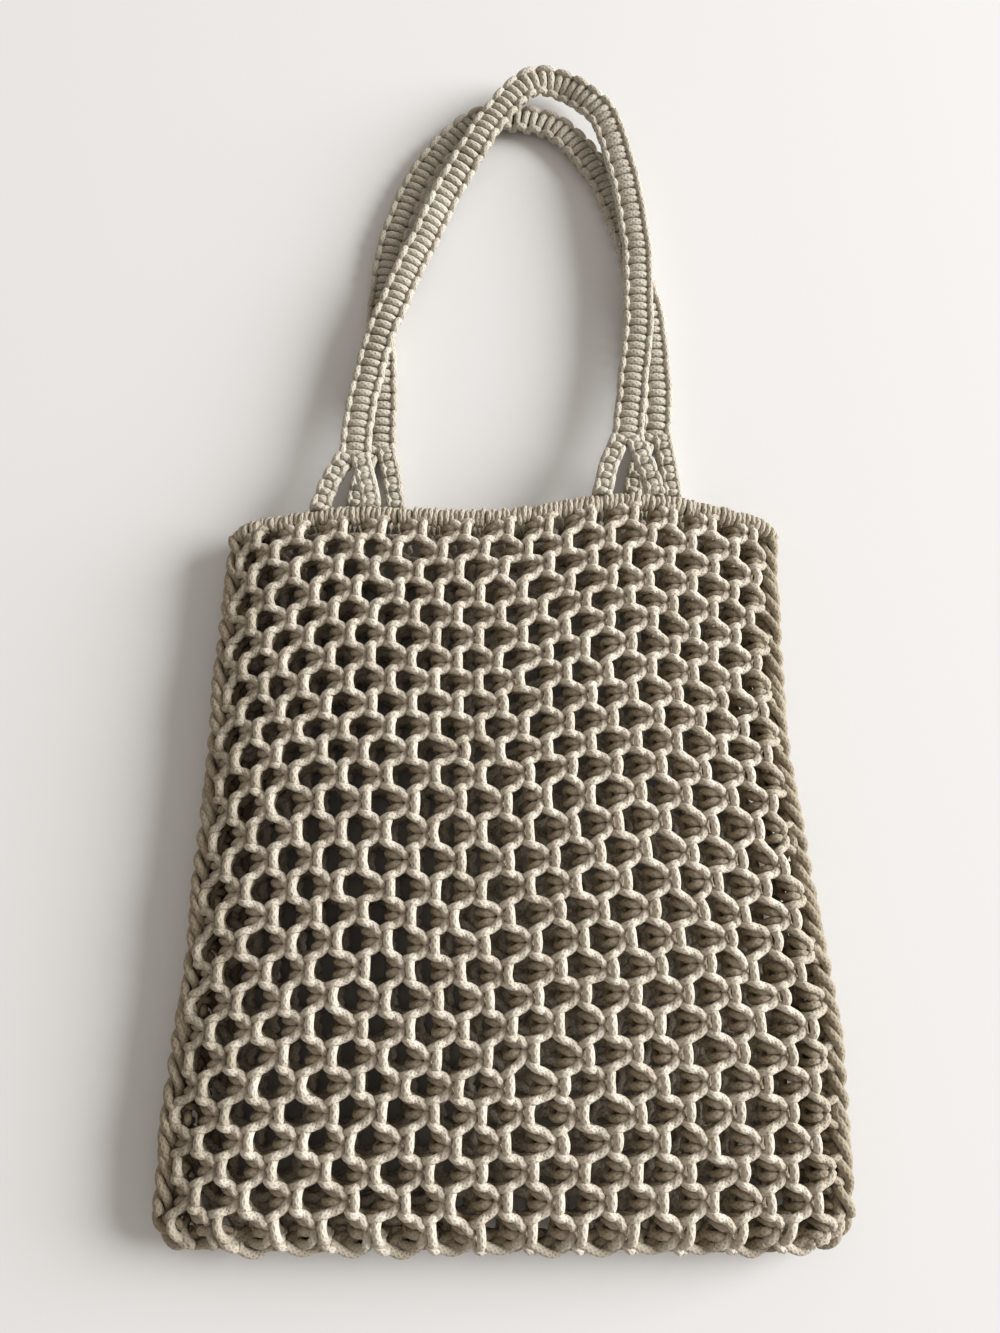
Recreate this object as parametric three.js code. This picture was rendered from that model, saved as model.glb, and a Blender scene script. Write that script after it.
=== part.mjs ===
// Knotted cord bag with two hand straps, lying flat on its back panel.
// Millimetres. +X is the bag's right, +Y runs from its base to its straps, +Z is up.
import * as THREE from "three";
import { mergeVertices } from "three/addons/utils/BufferGeometryUtils.js";

// Clearance between neighbouring pieces
const gap = 0.3;
const turnGap = 0.9; // more room where the rim band rounds the sides

// Bag body
const bodyLength = 416; // lowest edge to the mean height of the rim
const rimHalf = 168; // half the width at the rim
const panelT = 10; // thickness of the knotted net
const edgeW = 20; // width of the laced edge, seen from above
const cornerR = 32; // outer radius of the two lower corners
const rimRise = 12.6; // highest swell of the rim above its mean height
const rimSideDrop = 8; // fall of the rim where it rounds the bag's sides
const bandW = 8.5; // width of the wrapped rim band

// Height of the lying body: the laced edge, and the crown of the front panel over it
const edgeH = { rim: 28, middle: 31, base: 26 };
const crownH = { rim: 10, middle: 12, base: 4 };
const crownPower = 2.4;

// Net: cells across, rows of cells, solid margins, and how far a gap opens its cell
const netColumns = 6;
const netRows = 10;
const sideMargin = 9;
const rimMargin = 7;
const baseMargin = 3;
const openShare = 0.56;
const zigzagShare = 0.17;
const webBevelShare = 0.22;

// Steps in each quarter turn of the rounded edges
const quarterSteps = 3;

// Scalloped lower edge
const scallops = 12;
const scallopDepth = 3;

// Hand straps, and the two legs that each strap end splits into
const strapW = 20;
const strapT = 11;
const handleRise = 322; // rim to the middle of the strap at its top
const legW = 15; // leg width across at the rim
const legT = 10;
const strapChamfer = 2.6;
const strapSteps = 34;

// Outline of the body: height as a share of bodyLength, half widths as shares of rimHalf
const sideLine = [
  { up: 0, left: 1.12, right: 1.11 },
  { up: 0.12, left: 1.11, right: 1.12 },
  { up: 0.25, left: 1.085, right: 1.112 },
  { up: 0.35, left: 1.065, right: 1.092 },
  { up: 0.45, left: 1.052, right: 1.058 },
  { up: 0.58, left: 1.038, right: 1.015 },
  { up: 0.73, left: 1.026, right: 0.986 },
  { up: 0.87, left: 1.015, right: 0.98 },
  { up: 1, left: 1, right: 1 },
];

// Swell of the rim: place as a share of rimHalf, rise as a share of rimRise
const rimLine = [
  { across: -1, rise: -0.3 },
  { across: -0.8, rise: 0.05 },
  { across: -0.6, rise: 0.3 },
  { across: -0.33, rise: 0.2 },
  { across: -0.1, rise: 0.06 },
  { across: 0.06, rise: 0.2 },
  { across: 0.3, rise: 0.78 },
  { across: 0.48, rise: 1 },
  { across: 0.67, rise: 0.78 },
  { across: 0.85, rise: 0.3 },
  { across: 1, rise: 0 },
];

// Strap routes from the left end to the right one: across as a share of rimHalf, up from the rim
// as a share of handleRise, lift of the middle as a share of strapT, lean of the face in degrees
const frontRoute = [
  { across: -0.553, up: 0.11, lift: 2.27, lean: 0 },
  { across: -0.54, up: 0.2, lift: 1.9, lean: 0 },
  { across: -0.52, up: 0.286, lift: 1.62, lean: 0 },
  { across: -0.475, up: 0.386, lift: 1.6, lean: 0 },
  { across: -0.41, up: 0.49, lift: 1.56, lean: 8 },
  { across: -0.325, up: 0.612, lift: 1.3, lean: 20 },
  { across: -0.213, up: 0.75, lift: 1.3, lean: 20 },
  { across: -0.112, up: 0.841, lift: 1.62, lean: 4 },
  { across: -0.01, up: 0.931, lift: 1.62, lean: 4 },
  { across: 0.115, up: 1, lift: 1.6, lean: 9 },
  { across: 0.27, up: 1, lift: 1.25, lean: 26 },
  { across: 0.415, up: 0.915, lift: 1.52, lean: 12 },
  { across: 0.487, up: 0.765, lift: 1.62, lean: 4 },
  { across: 0.526, up: 0.617, lift: 1.62, lean: 2 },
  { across: 0.529, up: 0.454, lift: 1.6, lean: 0 },
  { across: 0.505, up: 0.319, lift: 1.62, lean: 0 },
  { across: 0.478, up: 0.214, lift: 1.9, lean: 0 },
  { across: 0.464, up: 0.148, lift: 2.27, lean: 0 },
];
const backRoute = [
  { across: -0.471, up: 0.157, lift: 0.52, lean: 0 },
  { across: -0.464, up: 0.271, lift: 0.52, lean: 0 },
  { across: -0.479, up: 0.407, lift: 0.52, lean: 0 },
  { across: -0.46, up: 0.57, lift: 0.52, lean: 0 },
  { across: -0.393, up: 0.715, lift: 0.52, lean: 0 },
  { across: -0.258, up: 0.852, lift: 0.52, lean: 0 },
  { across: -0.094, up: 0.932, lift: 0.52, lean: 0 },
  { across: 0.073, up: 0.94, lift: 0.52, lean: 0 },
  { across: 0.23, up: 0.91, lift: 0.52, lean: 0 },
  { across: 0.36, up: 0.83, lift: 0.52, lean: 0 },
  { across: 0.463, up: 0.715, lift: 0.52, lean: 0 },
  { across: 0.528, up: 0.582, lift: 0.52, lean: 0 },
  { across: 0.577, up: 0.465, lift: 0.52, lean: 0 },
  { across: 0.597, up: 0.339, lift: 0.52, lean: 0 },
  { across: 0.595, up: 0.249, lift: 0.52, lean: 0 },
  { across: 0.586, up: 0.183, lift: 0.52, lean: 0 },
];

// Where the legs stand on the rim, as shares of rimHalf, outer leg then inner leg
const legFeet = {
  front: { left: [-0.654, -0.479], right: [0.368, 0.549] },
  back: { left: [-0.572, -0.397], right: [0.473, 0.647] },
};

const colours = { net: 0xb9ad97, band: 0xc4b9a4, strap: 0xbfb39d, lacing: 0xb3a791 };

// Smooth value from a table with named columns, by a cubic through its rows
function along(table, key, column, x) {
  const last = table.length - 1;
  if (x <= table[0][key]) return table[0][column];
  if (x >= table[last][key]) return table[last][column];
  let i = 0;
  while (x > table[i + 1][key]) i += 1;
  const slope = (k) => {
    const a = table[Math.max(k - 1, 0)];
    const b = table[Math.min(k + 1, last)];
    return (b[column] - a[column]) / (b[key] - a[key]);
  };
  const span = table[i + 1][key] - table[i][key];
  const s = (x - table[i][key]) / span;
  const h1 = s * s * (3 - 2 * s);
  const bend = s * (1 - s) * span * ((1 - s) * slope(i) - s * slope(i + 1));
  return table[i][column] * (1 - h1) + table[i + 1][column] * h1 + bend;
}

function mix(a, b, s) {
  return a + (b - a) * s;
}

// Signed x of the body's outer side at a height over the base: side is -1 on the left, 1 on the right
function sideX(side, y) {
  const column = side < 0 ? "left" : "right";
  return side * rimHalf * along(sideLine, "up", column, y / bodyLength);
}

// Top of the rim band over the place x
function rimTop(x) {
  const share = Math.min(1, Math.abs(x) / rimHalf);
  const fall = Math.max(0, 1 - (rimHalf * (1 - share)) / edgeW);
  return bodyLength + rimRise * along(rimLine, "across", "rise", x / rimHalf) - rimSideDrop * fall ** 2;
}

function netTop(x) {
  return rimTop(x) - bandW - gap;
}

// A length that goes from its base value over its middle one to its rim value
function byHeight(sizes, y) {
  const rows = [
    { up: 0, size: sizes.base },
    { up: 0.35, size: sizes.middle },
    { up: 0.75, size: sizes.middle },
    { up: 1, size: sizes.rim },
  ];
  return along(rows, "up", "size", y / bodyLength);
}

// Upper surface of the front panel
function frontZ(x, y) {
  const left = sideX(-1, y) + edgeW;
  const right = sideX(1, y) - edgeW;
  const u = Math.min(1, Math.abs((2 * x - left - right) / (right - left)));
  return byHeight(edgeH, y) + byHeight(crownH, y) * (1 - u ** crownPower);
}

// Closed body from triangles, turned so that its faces point out
function bodyMesh(name, triangles, colour) {
  const flat = triangles.flat();
  let volume = 0;
  for (const [a, b, c] of triangles) volume += a.dot(b.clone().cross(c)) / 6;
  const order = volume > 0 ? [0, 1, 2] : [0, 2, 1];
  const positions = [];
  for (let t = 0; t < flat.length; t += 3) {
    for (const k of order) positions.push(...flat[t + k].toArray());
  }
  const raw = new THREE.BufferGeometry();
  raw.setAttribute("position", new THREE.Float32BufferAttribute(positions, 3));
  const geometry = mergeVertices(raw, 1e-3);
  geometry.computeVertexNormals();
  const material = new THREE.MeshStandardMaterial({ color: colour, roughness: 0.9, metalness: 0 });
  const mesh = new THREE.Mesh(geometry, material);
  mesh.name = name;
  return mesh;
}

// Body through closed sections with the same number of points, its ends filled
function loft(name, sections, colour) {
  const triangles = [];
  const n = sections[0].length;
  for (let i = 0; i + 1 < sections.length; i += 1) {
    for (let k = 0; k < n; k += 1) {
      const m = (k + 1) % n;
      const [a, b] = [sections[i][k], sections[i][m]];
      const [c, d] = [sections[i + 1][m], sections[i + 1][k]];
      triangles.push([a, b, c], [a, c, d]);
    }
  }
  triangles.push(...endFaces(sections[0], true), ...endFaces(sections.at(-1), false));
  return bodyMesh(name, triangles, colour);
}

// A strip of triangles that fills a section, from its first point to the middle ones
function endFaces(section, turned) {
  const triangles = [];
  const n = section.length;
  for (let i = 0; i + 1 < n / 2; i += 1) {
    const [a, b, c, d] = [section[i], section[i + 1], section[n - 2 - i], section[n - 1 - i]];
    triangles.push(turned ? [a, c, b] : [a, b, c], turned ? [a, d, c] : [a, c, d]);
  }
  return triangles;
}

// Eight-sided section of a flat band round a centre, half size along a and b, corners cut
function bandSection(centre, axisA, halfA, axisB, halfB, cut) {
  const corners = [
    [halfA, -halfB + cut], [halfA, halfB - cut], [halfA - cut, halfB], [-halfA + cut, halfB],
    [-halfA, halfB - cut], [-halfA, -halfB + cut], [-halfA + cut, -halfB], [halfA - cut, -halfB],
  ];
  return corners.map(([a, b]) => centre.clone().addScaledVector(axisA, a).addScaledVector(axisB, b));
}

// Points of the laced edge's C-shaped section, outer then inner arc: inward distance, height, and
// the inward distance of the wall's middle there
function edgeSection(height, bulge) {
  const points = [];
  const steps = 2 * quarterSteps;
  for (const [outside, order] of [[true, 1], [false, -1]]) {
    for (let k = 0; k <= steps; k += 1) {
      const turn = (Math.PI / 2) * (2 - order + (order * 2 * k) / steps);
      const reach = outside ? edgeW + bulge : edgeW - panelT;
      const halfHeight = outside ? height / 2 : height / 2 - panelT;
      points.push({
        inward: edgeW + reach * Math.cos(turn),
        z: height / 2 + halfHeight * Math.sin(turn),
        middle: edgeW + (edgeW - panelT / 2) * Math.cos(turn),
      });
    }
  }
  return points;
}

// Heights of the net's level lines, as shares from the base of the net to its rim edge
const netBase = edgeW + gap;
const netSpan = bodyLength - bandW - gap - netBase;
const cornerLevel = (cornerR + gap - netBase) / netSpan;
const firstRow = cornerLevel + baseMargin / netSpan;
const lastRow = 1 - rimMargin / netSpan;
const rowLevels = Array.from({ length: netRows + 1 }, (_, r) => mix(firstRow, lastRow, r / netRows));

// The swell of the rim fades out down to the corner's level
function levelY(level, x) {
  const share = Math.max(0, (level - cornerLevel) / (1 - cornerLevel));
  return netBase + netSpan * level + share * (netTop(x) - netBase - netSpan);
}

// Side edge of the net at a level, and there the top line's own place
function netEdge(side, level) {
  const guess = levelY(level, sideX(side, netSpan * level + netBase) - side * edgeW);
  return sideX(side, guess) - side * (edgeW + gap);
}

// A place on the net: share across its cells from 0 to netColumns, and a level line
function netPlace(column, level, shift = 0) {
  const left = netEdge(-1, level) + sideMargin;
  const right = netEdge(1, level) - sideMargin;
  const x = mix(left, right, column / netColumns);
  return { x, y: levelY(level, x) + shift };
}

function sidePlace(side, level) {
  const x = netEdge(side, level);
  return { x, y: levelY(level, x) };
}

// The places along one level line, from side to side
function levelLine(level) {
  const inside = Array.from({ length: 2 * netColumns + 1 }, (_, k) => netPlace(k / 2, level));
  return [sidePlace(-1, level), ...inside, sidePlace(1, level)];
}

// A laced side edge, from the lower corner to the rim band
function sideLacing(name, side) {
  const levels = [cornerLevel, ...rowLevels, 1];
  const sections = levels.map((level) => {
    const inner = netEdge(side, level);
    const outer = inner + side * (edgeW + gap);
    const midY = levelY(level, inner);
    return edgeSection(byHeight(edgeH, midY), 0).map(({ inward, z, middle }) => {
      const y = levelY(level, outer - side * (middle + gap)) - (level === 1 ? turnGap : 0);
      return new THREE.Vector3(outer - side * inward, y, z);
    });
  });
  return loft(name, sections, colours.lacing);
}

// The scalloped edge round both lower corners and along the base
function baseHem() {
  const stations = [];
  const cornerSteps = 4;
  const scallopSteps = 4;
  const centre = { left: sideX(-1, cornerR) + cornerR, right: sideX(1, cornerR) - cornerR };
  for (let k = 0; k < cornerSteps; k += 1) {
    stations.push({ x: centre.left, turn: (Math.PI / 2) * (k / cornerSteps - 1), straight: false, bulge: 0 });
  }
  const steps = scallops * scallopSteps;
  for (let k = 0; k <= steps; k += 1) {
    const bulge = -scallopDepth * (1 - Math.abs(Math.sin((Math.PI * k) / scallopSteps)));
    stations.push({ x: mix(centre.left, centre.right, k / steps), turn: 0, straight: true, bulge });
  }
  for (let k = 1; k <= cornerSteps; k += 1) {
    stations.push({ x: centre.right, turn: (Math.PI / 2) * (k / cornerSteps), straight: false, bulge: 0 });
  }
  const sections = stations.map(({ x, turn, bulge }) => {
    const height = frontZ(x, netBase) * Math.cos(turn) ** 2 + byHeight(edgeH, cornerR) * Math.sin(turn) ** 2;
    return edgeSection(height, bulge).map(({ inward, z }) => {
      const reach = cornerR - inward;
      return new THREE.Vector3(x + reach * Math.sin(turn), cornerR - reach * Math.cos(turn), z);
    });
  });
  return loft("base_hem", sections, colours.lacing);
}

// The pierced net of one panel. surface gives the upper and lower height at a place, and bevel
// says how far the lower edge of a gap rises.
function netPanel(name, surface, lowerBevel) {
  const triangles = [];
  const top = (p) => new THREE.Vector3(p.x, p.y, surface(p).upper - (p.edge ? webBevelShare * panelT : 0));
  const low = (p) => new THREE.Vector3(p.x, p.y, surface(p).lower + (p.edge ? lowerBevel : 0));
  const face = (a, b, c) => {
    triangles.push([top(a), top(b), top(c)], [low(a), low(c), low(b)]);
  };
  const wall = (a, b) => {
    triangles.push([top(a), low(a), low(b)], [top(a), low(b), top(b)]);
  };
  const rowGap = (netSpan * (lastRow - firstRow)) / netRows;
  const zigzag = zigzagShare * rowGap;
  // Point k, in half columns, on row line r, raised or lowered in turn
  const node = (k, r) => {
    const sideEnd = k === 0 || k === 2 * netColumns || r === 0 || r === netRows;
    const up = (k + r) % 2 === 0 ? 1 : -1;
    return netPlace(k / 2, rowLevels[r], sideEnd ? 0 : up * zigzag);
  };
  for (let r = 0; r < netRows; r += 1) {
    const staggered = r % 2 === 1;
    for (let c = 0; c < netColumns - (staggered ? 1 : 0); c += 1) {
      const k = 2 * c + (staggered ? 1 : 0);
      const ring = [node(k, r), node(k + 1, r), node(k + 2, r), node(k + 2, r + 1), node(k + 1, r + 1), node(k, r + 1)];
      const middle = { x: 0, y: 0 };
      for (const p of ring) {
        middle.x += p.x / ring.length;
        middle.y += p.y / ring.length;
      }
      const hole = ring.map((p) => ({
        x: mix(middle.x, p.x, openShare),
        y: mix(middle.y, p.y, openShare),
        edge: true,
      }));
      ring.forEach((p, i) => {
        const j = (i + 1) % ring.length;
        face(p, ring[j], hole[j]);
        face(p, hole[j], hole[i]);
        wall(hole[j], hole[i]);
      });
    }
    if (staggered) {
      for (const k of [0, 2 * netColumns - 1]) {
        face(node(k, r), node(k + 1, r), node(k + 1, r + 1));
        face(node(k, r), node(k + 1, r + 1), node(k, r + 1));
      }
    }
    const sides = [[-1, 0], [1, 2 * netColumns]];
    for (const [side, k] of sides) {
      const [a, b] = [sidePlace(side, rowLevels[r]), sidePlace(side, rowLevels[r + 1])];
      const [c, d] = [node(k, r + 1), node(k, r)];
      const turned = side < 0 ? [a, d, c, b] : [d, a, b, c];
      face(turned[0], turned[1], turned[2]);
      face(turned[0], turned[2], turned[3]);
      if (side < 0) wall(b, a);
      else wall(a, b);
    }
  }
  // Solid margins: a strip between two level lines
  const strip = (low1, high1) => {
    for (let i = 0; i + 1 < low1.length; i += 1) {
      face(low1[i], low1[i + 1], high1[i + 1]);
      face(low1[i], high1[i + 1], high1[i]);
    }
    wall(high1[0], low1[0]);
    wall(low1.at(-1), high1.at(-1));
  };
  const cornerLine = levelLine(cornerLevel);
  const [left, right] = [cornerLine[0].x, cornerLine.at(-1).x];
  const cut = cornerR - edgeW;
  const baseLine = cornerLine.map((p) => {
    return { x: mix(left + cut, right - cut, (p.x - left) / (right - left)), y: netBase };
  });
  strip(baseLine, cornerLine);
  strip(cornerLine, levelLine(rowLevels[0]));
  strip(levelLine(rowLevels[netRows]), levelLine(1));
  for (let i = 0; i + 1 < baseLine.length; i += 1) wall(baseLine[i], baseLine[i + 1]);
  const topLine = levelLine(1);
  for (let i = 0; i + 1 < topLine.length; i += 1) wall(topLine[i + 1], topLine[i]);
  return bodyMesh(name, triangles, colours.net);
}

function frontSurface(p) {
  const upper = frontZ(p.x, p.y);
  return { upper, lower: upper - panelT };
}

function backSurface() {
  return { upper: panelT, lower: 0 };
}

// Middle line of the rim across the mouth: from the left side to the right one, over or under
function rimStations(over) {
  const stations = [];
  const [left, right] = [netEdge(-1, 1), netEdge(1, 1)];
  const y = levelY(1, left);
  const halfHeight = byHeight(edgeH, y) / 2;
  const up = over ? 1 : -1;
  const arc = (side, share) => {
    const turn = (Math.PI / 2) * share;
    const normal = new THREE.Vector3(side * Math.cos(turn), 0, up * Math.sin(turn));
    const x = (side < 0 ? left : right) + side * (edgeW - panelT / 2) * Math.cos(turn);
    const z = halfHeight + up * (halfHeight - panelT / 2) * Math.sin(turn);
    return { x, z: z + (share === 0 ? up * gap / 2 : 0), normal };
  };
  for (let k = 0; k < quarterSteps; k += 1) stations.push(arc(-1, k / quarterSteps));
  for (const { x } of levelLine(1)) {
    const z = over ? frontZ(x, y) - panelT / 2 : panelT / 2;
    stations.push({ x, z, normal: new THREE.Vector3(0, 0, up) });
  }
  for (let k = quarterSteps - 1; k >= 0; k -= 1) stations.push(arc(1, k / quarterSteps));
  return stations;
}

// The wrapped band along one half of the rim
function rimBand(name, over) {
  const axisY = new THREE.Vector3(0, 1, 0);
  const cut = bandW * 0.22;
  const sections = rimStations(over).map(({ x, z, normal }) => {
    const centre = new THREE.Vector3(x, 0, z);
    const section = bandSection(centre, axisY, bandW / 2, normal, panelT / 2, cut);
    for (const p of section) p.y += rimTop(x) - bandW / 2;
    return section;
  });
  return loft(name, sections, colours.band);
}

// A strap's middle line, as places with their lean
function strapPath(route) {
  const points = route.map(({ across, up, lift }) => {
    return new THREE.Vector3(across * rimHalf, bodyLength + up * handleRise, lift * strapT);
  });
  const curve = new THREE.CatmullRomCurve3(points, false, "centripetal");
  const last = route.length - 1;
  return Array.from({ length: strapSteps + 1 }, (_, i) => {
    const s = curve.getUtoTmapping(i / strapSteps);
    const row = Math.min(last - 1, Math.floor(s * last));
    const lean = mix(route[row].lean, route[row + 1].lean, s * last - row);
    return { place: curve.getPoint(s), tangent: curve.getTangent(s), lean };
  });
}

// A flat knotted strap; its two end faces lie square to Y, where the legs meet them
function strap(name, route) {
  const up = new THREE.Vector3(0, 0, 1);
  const sections = strapPath(route).map(({ place, tangent, lean }, i) => {
    const atEnd = i === 0 || i === strapSteps;
    const ahead = atEnd ? new THREE.Vector3(0, i === 0 ? 1 : -1, 0) : tangent;
    const inward = ahead.clone().cross(up).normalize();
    const normal = inward.clone().cross(ahead).normalize();
    const turn = THREE.MathUtils.degToRad(lean);
    const across = inward.clone().multiplyScalar(Math.cos(turn)).addScaledVector(normal, -Math.sin(turn));
    const face = normal.clone().multiplyScalar(Math.cos(turn)).addScaledVector(inward, Math.sin(turn));
    return bandSection(place, across, strapW / 2, face, strapT / 2, strapChamfer);
  });
  return loft(name, sections, colours.strap);
}

// One leg from the rim band up to its half of a strap's end
function leg(name, foot, end, side, over) {
  const steps = 5;
  const axisX = new THREE.Vector3(1, 0, 0);
  const axisZ = new THREE.Vector3(0, 0, 1);
  const footX = foot * rimHalf;
  const footZ = over ? frontZ(footX, bodyLength - bandW) - panelT / 2 : panelT / 2;
  const headW = (strapW - 2 * gap) / 2;
  const headX = end.x + side * (headW / 2 + gap);
  const sections = Array.from({ length: steps + 1 }, (_, i) => {
    const s = i / steps;
    const centre = new THREE.Vector3(mix(footX, headX, s), 0, mix(footZ, end.z, s));
    const section = bandSection(centre, axisX, mix(legW, headW, s) / 2, axisZ, legT / 2, strapChamfer);
    for (const p of section) p.y = mix(rimTop(p.x) + gap, end.y - gap, s);
    return section;
  });
  return loft(name, sections, colours.strap);
}

// The four legs of one strap
function strapLegs(panel, route, over) {
  const path = strapPath(route);
  const ends = { left: path[0].place, right: path.at(-1).place };
  const legs = [];
  for (const hand of ["left", "right"]) {
    legFeet[panel][hand].forEach((foot, i) => {
      const side = i === 0 ? -1 : 1;
      legs.push(leg(`${panel}_${hand}_leg_${i + 1}`, foot, ends[hand], side, over));
    });
  }
  return legs;
}

const bag = new THREE.Group();
bag.add(netPanel("front_net", frontSurface, webBevelShare * panelT));
bag.add(netPanel("back_net", backSurface, 0));
bag.add(sideLacing("left_side_lacing", -1));
bag.add(sideLacing("right_side_lacing", 1));
bag.add(baseHem());
bag.add(rimBand("front_rim_band", true));
bag.add(rimBand("back_rim_band", false));
bag.add(strap("front_strap", frontRoute));
bag.add(strap("back_strap", backRoute));
bag.add(...strapLegs("front", frontRoute, true));
bag.add(...strapLegs("back", backRoute, false));

// The origin is below the middle of the whole bag, on the surface it lies on
const box = new THREE.Box3().setFromObject(bag);
const middle = box.getCenter(new THREE.Vector3());
bag.position.set(-middle.x, -middle.y, -box.min.z);

export default bag;
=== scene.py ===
"""Knotted cord bag with two hand straps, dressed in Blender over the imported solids.

Every cord is drawn as a run of its own. The square knot of the net is tightened by settle() and
repeated over the body, and the straps repeat a flat knot of their own. Lengths are in millimetres,
except inside a net knot, where they are in cord diameters, and in the materials and at the floor,
light and camera, where they are in metres.
"""

import math

import bpy
import numpy as np
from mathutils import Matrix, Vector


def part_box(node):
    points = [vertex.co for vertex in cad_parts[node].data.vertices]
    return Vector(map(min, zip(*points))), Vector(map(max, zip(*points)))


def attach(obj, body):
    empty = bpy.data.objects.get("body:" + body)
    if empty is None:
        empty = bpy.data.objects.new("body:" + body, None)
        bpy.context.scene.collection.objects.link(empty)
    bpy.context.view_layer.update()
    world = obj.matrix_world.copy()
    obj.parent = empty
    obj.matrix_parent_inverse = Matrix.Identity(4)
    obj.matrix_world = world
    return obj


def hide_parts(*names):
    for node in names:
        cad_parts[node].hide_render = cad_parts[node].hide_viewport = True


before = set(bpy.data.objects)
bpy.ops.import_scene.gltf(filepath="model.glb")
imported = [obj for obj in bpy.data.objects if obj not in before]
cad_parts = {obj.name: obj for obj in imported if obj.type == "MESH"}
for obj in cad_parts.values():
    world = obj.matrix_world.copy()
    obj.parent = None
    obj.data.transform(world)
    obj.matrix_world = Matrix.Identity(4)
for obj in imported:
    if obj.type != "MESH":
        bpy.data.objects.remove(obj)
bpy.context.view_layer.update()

MM = 0.001

# Thickness of the cord, and spacing of the net's knots in cord diameters
CORD = 4.5
COLUMN_PITCH = 6.2
ROW_PITCH = 3.2
# Flats round a cord in each kind of piece. Those behind show less and have fewer.
FLATS = {
    "front_net": 7, "back_net": 6, "edge": 7, "rim": 6, "front_strap": 8, "back_strap": 7, "leg": 8,
}
# Knots round the whole body, rows of knots from the rim to the base, and the first knot's column
COLUMNS = 27
ROWS = 28
FIRST_COLUMN = 0.556

# Body, as in the part's source, but with a fuller right side and a deeper rim band
BODY_LENGTH = 416
RIM_HALF = 168
EDGE_W = 20
CORNER_R = 32
RIM_RISE = 12.6
RIM_SIDE_DROP = 8
BAND_W = 10.5
# Height of the edge and of the crown over it, at shares of the body's length
EDGE_H = (26, 31, 31, 28)
CROWN_H = (4, 12, 12, 10)
HEIGHT_STOPS = (0, 0.35, 0.75, 1)
CROWN_POWER = 2.4
# Outline: height as a share of the length, half widths as shares of the half width at the rim
SIDE_UP = (0, 0.12, 0.25, 0.35, 0.45, 0.58, 0.73, 0.87, 1)
SIDE_LEFT = (1.12, 1.11, 1.085, 1.065, 1.052, 1.038, 1.026, 1.015, 1)
SIDE_RIGHT = (1.11, 1.12, 1.112, 1.092, 1.058, 1.018, 0.995, 0.997, 1.02)
# Swell of the rim: place as a share of the half width, rise as a share of RIM_RISE
RIM_ACROSS = (-1, -0.8, -0.6, -0.33, -0.1, 0.06, 0.3, 0.48, 0.67, 0.85, 1)
RIM_SWELL = (-0.3, 0.05, 0.3, 0.2, 0.06, 0.2, 0.78, 1, 0.78, 0.3, 0)

# Depth of the knots' middle surface below the outside, and its radius at the lower corners
NET_INSET = 6
BACK_INSET = 8.8
NET_CORNER = 22

# Heights of the knot rows over the base: row and height, and the rise of a row above the first
ROW_STOPS = (0, 11, 15, 27)
ROW_HEIGHTS = (400, 250.8, 188.4, 14.4)
ROW_ABOVE = 13.75

# Straps, as in the part's source, and the legs at their ends, which are narrower than there
HANDLE_RISE = 322
STRAP_T = 11
STRAP_W = 20
LEG_W = 12.5
STRAP_PITCH = 11.5
LEG_PITCH = 11
# Routes: across as a share of the half width, up from the rim as a share of the rise, lift as a
# share of the thickness, and lean in degrees
FRONT_ROUTE = (
    (-0.553, 0.11, 2.27, 0), (-0.54, 0.2, 1.9, 0), (-0.52, 0.286, 1.62, 0), (-0.475, 0.386, 1.6, 0),
    (-0.41, 0.49, 1.56, 8), (-0.325, 0.612, 1.3, 20), (-0.213, 0.75, 1.3, 20), (-0.112, 0.841, 1.62, 4),
    (-0.01, 0.931, 1.62, 4), (0.115, 1, 1.6, 9), (0.27, 1, 1.25, 26), (0.415, 0.915, 1.52, 12),
    (0.487, 0.765, 1.62, 4), (0.526, 0.617, 1.62, 2), (0.529, 0.454, 1.6, 0), (0.505, 0.319, 1.62, 0),
    (0.478, 0.214, 1.9, 0), (0.464, 0.148, 2.27, 0),
)
BACK_ROUTE = (
    (-0.471, 0.157, 0.52, 0), (-0.464, 0.271, 0.52, 0), (-0.479, 0.407, 0.52, 0), (-0.46, 0.57, 0.52, 0),
    (-0.393, 0.715, 0.52, 0), (-0.258, 0.852, 0.52, 0), (-0.094, 0.932, 0.52, 0), (0.073, 0.94, 0.52, 0),
    (0.23, 0.91, 0.52, 0), (0.36, 0.83, 0.52, 0), (0.463, 0.715, 0.52, 0), (0.528, 0.582, 0.52, 0),
    (0.577, 0.465, 0.52, 0), (0.597, 0.339, 0.52, 0), (0.595, 0.249, 0.52, 0), (0.586, 0.183, 0.52, 0),
)
# Where the legs stand on the rim, as shares of the half width
LEG_FEET = {
    "front": {"left": (-0.675, -0.479), "right": (0.355, 0.555)},
    "back": {"left": (-0.572, -0.397), "right": (0.473, 0.647)},
}

# Place of the body's own zero in the frame
BOX = {name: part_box(name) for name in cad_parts}
SHIFT_X = -0.364
SHIFT_Y = BOX["base_hem"][0][1] / MM

rng = np.random.default_rng(11)
UP = np.array([0.0, 0.0, 1.0])


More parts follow.
